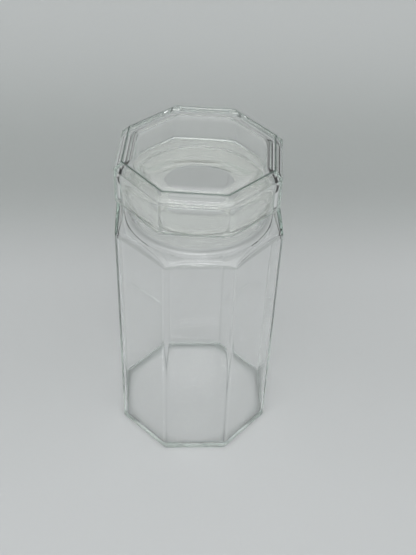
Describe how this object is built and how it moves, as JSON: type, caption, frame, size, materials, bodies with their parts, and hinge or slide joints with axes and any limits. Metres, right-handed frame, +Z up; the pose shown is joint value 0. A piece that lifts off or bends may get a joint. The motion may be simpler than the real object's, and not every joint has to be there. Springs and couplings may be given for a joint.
{
  "type": "lidded glass canister",
  "caption": "Tall octagonal clear glass kitchen canister with a round neck, a hollow octagonal glass lid and a soft plastic seal ring between them; the lid lifts off and turns.",
  "frame": {"origin": "middle of the foot, on the surface that the canister stands on", "axes": "+Z up along the axis of the neck, -Y out of the front flat of the jar"},
  "size_m": [0.104, 0.104, 0.2261],
  "materials": {
    "jar_glass": "clear, faintly green",
    "lid_glass": "clear, faintly green",
    "seal_plastic": "soft, slightly translucent"
  },
  "bodies": {
    "jar": {"jar_body": "jar_glass"},
    "seal": {"seal_ring": "seal_plastic"},
    "lid": {"lid": "lid_glass"}
  },
  "joints": [
    {"name": "lid_lift", "type": "slide", "parent": "jar", "child": "seal", "axis": [0, 0, 1], "range_m": [0, 0.08]},
    {"name": "lid_turn", "type": "hinge", "parent": "seal", "child": "lid", "pos_m": [0, 0, 0.1981], "axis": [0, 0, 1], "continuous": true}
  ]
}
